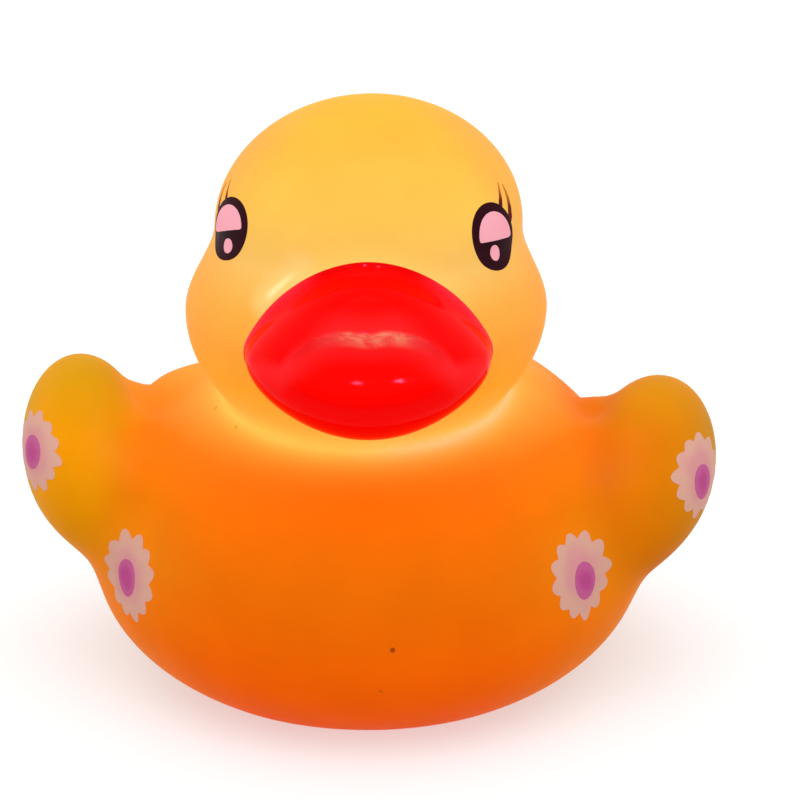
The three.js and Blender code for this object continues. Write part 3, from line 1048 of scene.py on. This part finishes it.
# The daisies: near is close to the skin, first the first petal's angle, seed the petals' differences.
DAISIES = {
    "daisy_chest_right": {
        "near": (-29.58, -21.5, 18.4), "stretch": 1.0, "heart": (0.45, -0.35), "heart_radius": 2.3,
        "petals": {"notch": 4.8, "tip": 6.0, "first": 8.0, "seed": 3},
    },
    "daisy_chest_left": {
        "near": (27.95, -23.0, 20.3), "stretch": 0.95, "heart": (0.65, -0.85), "heart_radius": 2.3,
        "petals": {"notch": 4.75, "tip": 5.95, "first": 2.0, "seed": 5},
    },
    "daisy_wing_right": {
        "near": (-43.8, -7.8, 30.2), "stretch": 1.6, "heart": (0.0, -0.3), "heart_radius": 2.0,
        "petals": {"notch": 4.1, "tip": 5.1, "first": 14.0, "seed": 7},
    },
    "daisy_wing_left": {
        "near": (43.55, -6.6, 27.9), "stretch": 1.35, "heart": (-0.15, -0.95), "heart_radius": 2.1,
        "petals": {"notch": 4.5, "tip": 5.6, "first": 5.0, "seed": 11},
    },
}
PETALS = 12
PETAL_CHANGE = (-0.06, 0.04)
PETAL_ROUNDING = 0.6
DAISY_SIDES = 240
HEART_ACROSS = 0.92
HEART_UP = 1.06
HEART_LEAN = 80.0


def daisy_outline(notch, tip, first, seed):
    """Narrow petals, each a little different."""
    angles = np.linspace(0, 2 * math.pi, DAISY_SIDES, endpoint=False)
    lobes = 0.5 + 0.5 * np.cos(PETALS * (angles - math.radians(first)))
    petal = (angles - math.radians(first)) / (2 * math.pi / PETALS)
    index = np.floor(petal + 0.5).astype(int) % PETALS
    change = np.random.default_rng(seed).uniform(*PETAL_CHANGE, PETALS)[index]
    return notch + (tip * (1 + change) - notch) * lobes**PETAL_ROUNDING


# The eyes. Places are across and up from the eye's middle; lashes are lines of (across, up, width).
EYES = {
    "eye_right": {
        "near": (-16.6, -18.7, 64.5), "stretch": 1.16, "lean": 136.0, "size": 0.96,
        "lid_edge": ((-3.2, 0.95), (2.6, -1.4)), "glint": (-0.75, -2.05),
        "lashes": (
            ((1.9, 2.8, 0.6), (2.35, 3.6, 0.55), (2.8, 4.3, 0.4), (3.5, 5.75, 0.1)),
            ((3.3, 0.5, 0.6), (4.1, 1.6, 0.6), (4.5, 2.6, 0.5), (4.8, 3.9, 0.35), (4.85, 5.0, 0.1)),
        ),
    },
    "eye_left": {
        "near": (16.95, -20.4, 64.55), "stretch": 1.0, "lean": 126.0, "size": 1.0,
        "lid_edge": ((-3.2, -0.15), (2.4, -0.85)), "glint": (-0.3, -2.1),
        "lashes": (
            ((1.9, 2.8, 0.9), (2.4, 3.6, 0.8), (2.9, 4.4, 0.65), (3.4, 5.5, 0.4), (3.85, 6.6, 0.1)),
            (
                (3.3, 0.5, 1.0), (4.15, 1.6, 1.1), (4.55, 2.7, 0.9),
                (4.8, 3.9, 0.7), (4.9, 5.0, 0.45), (4.9, 6.1, 0.1),
            ),
        ),
    },
}
EYE_HALF_ACROSS = 4.0
EYE_HALF_UP = 4.75
EYE_SIDES = 96
LID_HALF_ACROSS = 3.05
LID_HALF_UP = 3.75
LID_MIDDLE = (0.25, -0.35)
LID_START = (-0.5, 1.0)
LID_FINENESS = 2
GLINT_HALF_ACROSS = 0.85
GLINT_HALF_UP = 1.15


def lid_outline(edge, lean):
    """The eyelid's reach at each angle from its start: an oval in the eye, above a straight lower edge."""
    sides = 360 * LID_FINENESS
    inner = oval(LID_HALF_ACROSS, LID_HALF_UP, lean, sides)
    reach = np.linspace(0, 8, num=400)
    (u0, v0), (u1, v1) = edge
    radii = []
    for angle in np.linspace(0, 2 * math.pi, EYE_SIDES, endpoint=False):
        u = LID_START[0] + reach * math.cos(angle)
        v = LID_START[1] + reach * math.sin(angle)
        aside = u - LID_MIDDLE[0]
        above = v - LID_MIDDLE[1]
        degrees = np.degrees(np.arctan2(above, aside)) % 360
        inside = np.hypot(aside, above) < inner[(degrees * LID_FINENESS).astype(int) % sides]
        over_edge = (v - v0) * (u1 - u0) - (u - u0) * (v1 - v0) > 0
        radii.append(reach[np.argmin(inside & over_edge)])
    radii = np.array(radii)
    return (np.roll(radii, 1) + 2 * radii + np.roll(radii, -1)) / 4


def make_eye(name, eye, inks):
    spot = Spot(eye["near"], eye["stretch"])
    lean = eye["lean"]
    whole = oval(EYE_HALF_ACROSS * eye["size"], EYE_HALF_UP * eye["size"], lean, EYE_SIDES)
    lid = lid_outline(eye["lid_edge"], lean)
    glint = oval(GLINT_HALF_ACROSS, GLINT_HALF_UP, lean, sides=40)
    layers = [
        (*ink_patch(spot, (0, 0), whole, INK_LIFT, rows=10), inks["eye_black_ink"]),
        (*ink_patch(spot, LID_START, lid, TOP_INK_LIFT, rows=7), inks["eye_pink_ink"]),
        (*ink_patch(spot, eye["glint"], glint, TOP_INK_LIFT, rows=3), inks["eye_pink_ink"]),
    ]
    for lash in eye["lashes"]:
        layers.append((*ink_strip(spot, lash, INK_LIFT), inks["lash_ink"]))
    print_object(name, layers)


def make_daisy(name, daisy, inks):
    spot = Spot(daisy["near"], daisy["stretch"])
    petals = daisy_outline(**daisy["petals"])
    radius = daisy["heart_radius"]
    heart = oval(radius * HEART_ACROSS, radius * HEART_UP, HEART_LEAN, sides=64)
    layers = [
        (*ink_patch(spot, (0, 0), petals, INK_LIFT, rows=10), inks["daisy_petal_ink"]),
        (*ink_patch(spot, daisy["heart"], heart, TOP_INK_LIFT, rows=5), inks["daisy_centre_ink"]),
    ]
    print_object(name, layers)


def make_prints():
    inks = {name: ink_material(name, **ink) for name, ink in INKS.items()}
    for name, eye in EYES.items():
        make_eye(name, eye, inks)
    for name, daisy in DAISIES.items():
        make_daisy(name, daisy, inks)


# Materials of the light unit in the base, each with the pieces it is on.
LIGHT_UNIT = {
    "white_moulded_plastic": {"on": ["light_housing"], "rgb": (232, 230, 224), "rough": 0.42},
    "clear_moulded_plastic": {
        "on": ["light_cover"], "rgb": (240, 242, 242), "rough": 0.12,
        "Transmission_Weight": 0.9, "IOR": 1.49,
    },
    "green_laminate": {"on": ["circuit_board"], "rgb": (34, 92, 58), "rough": 0.45},
    "lamp_resin": {
        "on": ["led"], "rgb": (255, 238, 205), "rough": 0.2,
        "Transmission_Weight": 0.6, "IOR": 1.5,
    },
    "black_resin": {"on": ["control_chip"], "rgb": (22, 22, 24), "rough": 0.3},
    "cell_steel": {
        "on": ["cell_lower", "cell_middle", "cell_upper"],
        "rgb": (196, 198, 200), "rough": 0.24, "Metallic": 1.0,
    },
    "strip_steel": {
        "on": ["negative_clip", "positive_clip"],
        "rgb": (178, 180, 184), "rough": 0.34, "Metallic": 1.0,
    },
    "pin_brass": {
        "on": ["contact_pin_left", "contact_pin_right"],
        "rgb": (214, 176, 98), "rough": 0.26, "Metallic": 1.0,
    },
}


def finish_pieces(name, on, rgb, rough, **sockets):
    """Makes one of the light unit's materials and puts it on its pieces."""
    mat = Shader(name)
    point = mat.point()
    tone = mat.uneven(point, scale=300.0, detail=3.0, low=0.95, high=1.0)
    rough = mat.uneven_roughness(point, 700.0, rough)
    mat.set(Base_Color=mat.scaled(linear(rgb)[:3], tone), Roughness=rough, **sockets)
    grain = mat.noise(point, scale=1800.0, detail=2.0)
    mat.set(Normal=mat.bump(grain, strength=0.15, distance=0.00003))
    for piece in on:
        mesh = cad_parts[piece].data
        mesh.materials.clear()
        mesh.materials.append(mat.material)


def make_duck():
    duck = skin_object()
    cut(duck, hollow_object(), hole_object())
    mark_regions(duck.data)
    duck.data.materials.clear()
    duck.data.materials.append(vinyl_material("glowing_duck_vinyl", VINYL_SPECULAR))
    duck.data.materials.append(vinyl_material("glossy_bill_paint", PAINT_SPECULAR))
    paint_bill(duck.data)
    duck.data.shade_smooth()
    duck.data.set_sharp_from_angle(angle=math.radians(38))
    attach(duck, "root")
    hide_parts("duck_shell")


# The camera stands where the photo was taken from. The target is seen at the target pixel.
CAMERA_TURN = 3.2
CAMERA_LIFT = 21.0
CAMERA_DISTANCE = 560.0
CAMERA_TARGET = (0.0, -3.5, 33.0)
PHOTO_SIZE = 800
PHOTO_SCALE = 0.13
TARGET_PIXEL = (367.8, 423.0)
SENSOR = 36.0


def direction(turn_degrees, lift_degrees):
    """Away from the duck, turned from its front towards its left and lifted from level."""
    a = math.radians(turn_degrees)
    e = math.radians(lift_degrees)
    return np.array([math.sin(a) * math.cos(e), -math.cos(a) * math.cos(e), math.sin(e)])


def add_to_scene(name, data, place, look):
    """A camera or lamp at a place, looking along a direction."""
    made = bpy.data.objects.new(name, data)
    made.location = place
    made.rotation_euler = look.to_track_quat("-Z", "Y").to_euler()
    bpy.context.scene.collection.objects.link(made)
    return made


def make_camera():
    back = direction(CAMERA_TURN, CAMERA_LIFT)
    right = np.array([math.cos(math.radians(CAMERA_TURN)), math.sin(math.radians(CAMERA_TURN)), 0.0])
    up = np.cross(back, right)
    aside = (PHOTO_SIZE / 2 - TARGET_PIXEL[0]) * PHOTO_SCALE
    above = (TARGET_PIXEL[1] - PHOTO_SIZE / 2) * PHOTO_SCALE
    place = Vector(to_frame(np.array(CAMERA_TARGET) + back * CAMERA_DISTANCE))
    aim = Vector(to_frame(np.array(CAMERA_TARGET) + right * aside + up * above))
    data = bpy.data.cameras.new("photo_camera")
    data.sensor_width = SENSOR
    data.lens = SENSOR * CAMERA_DISTANCE / (PHOTO_SIZE * PHOTO_SCALE)
    data.clip_start = 0.01
    data.clip_end = 50.0
    bpy.context.scene.camera = add_to_scene("photo_camera", data, place, aim - place)


def seen_directly(tree):
    """1 for rays from the camera, from gloss or through clear plastic."""
    path = tree.nodes.new("ShaderNodeLightPath")
    seen = path.outputs["Is Camera Ray"]
    for kind in ("Is Glossy Ray", "Is Transmission Ray"):
        either = tree.nodes.new("ShaderNodeMath")
        either.operation = "MAXIMUM"
        tree.links.new(seen, either.inputs[0])
        tree.links.new(path.outputs[kind], either.inputs[1])
        seen = either.outputs[0]
    return seen


# The stage: a pale floor just under the duck, an even white surround, one broad panel above, and two small
# lamps that only make the glints on the bill. The lamps' aim is in millimetres, other lengths in metres.
WHITE = (1.0, 1.0, 1.0, 1.0)
FLOOR_TONE = 0.5
FLOOR_LIFT = 0.5
FLOOR_SIZE = 6.0
FLOOR_HEIGHT = -0.00002
AMBIENT = 0.95
LAMP_AIM = (0.0, -10.0, 40.0)
LAMP_DISTANCE = 0.8
PANEL = {"size": 1.2, "power": 3.4, "colour": WHITE[:3], "soft": True}
GLINT = {"size": 0.05, "power": 2.0, "colour": (0.5, 0.42, 1.0), "soft": False}


def make_floor():
    half = FLOOR_SIZE / 2
    sides = ((-half, -half), (half, -half), (half, half), (-half, half))
    corners = [(x, y, FLOOR_HEIGHT) for x, y in sides]
    mesh = bpy.data.meshes.new("floor")
    mesh.from_pydata(corners, [], [(0, 1, 2, 3)])
    floor = bpy.data.objects.new("floor", mesh)
    bpy.context.scene.collection.objects.link(floor)
    mat = Shader("pale_floor")
    mat.set(Base_Color=(FLOOR_TONE, FLOOR_TONE, FLOOR_TONE, 1.0), Roughness=1.0, Specular_IOR_Level=0.0)
    mat.set(Emission_Color=WHITE)
    mat.set(Emission_Strength=mat.times(seen_directly(mat.tree), FLOOR_LIFT))
    mesh.materials.append(mat.material)


def make_world():
    world = bpy.data.worlds.new("soft_studio")
    bpy.context.scene.world = world
    world.use_nodes = True
    tree = world.node_tree
    back = tree.nodes["Background"]
    back.inputs["Color"].default_value = WHITE
    level = tree.nodes.new("ShaderNodeMapRange")
    level.inputs["To Min"].default_value = AMBIENT
    level.inputs["To Max"].default_value = 1.0
    tree.links.new(seen_directly(tree), level.inputs["Value"])
    tree.links.new(level.outputs["Result"], back.inputs["Strength"])


def make_lamp(name, turn_degrees, lift_degrees, size, power, colour, soft):
    """A round lamp; one that is not soft shows only as a reflection."""
    away = Vector(direction(turn_degrees, lift_degrees))
    data = bpy.data.lights.new(name, "AREA")
    data.shape = "DISK"
    data.size = size
    data.energy = power
    data.color = colour
    lamp = add_to_scene(name, data, Vector(to_frame(LAMP_AIM)) + away * LAMP_DISTANCE, -away)
    lamp.visible_diffuse = soft


make_duck()
make_prints()
for name, look in LIGHT_UNIT.items():
    finish_pieces(name, **look)
make_camera()
make_floor()
make_world()
make_lamp("overhead_panel", 0.0, 80.0, **PANEL)
make_lamp("glint_left", -12.0, 75.5, **GLINT)
make_lamp("glint_right", 49.0, 74.4, **GLINT)
bpy.context.scene.view_settings.view_transform = "Standard"
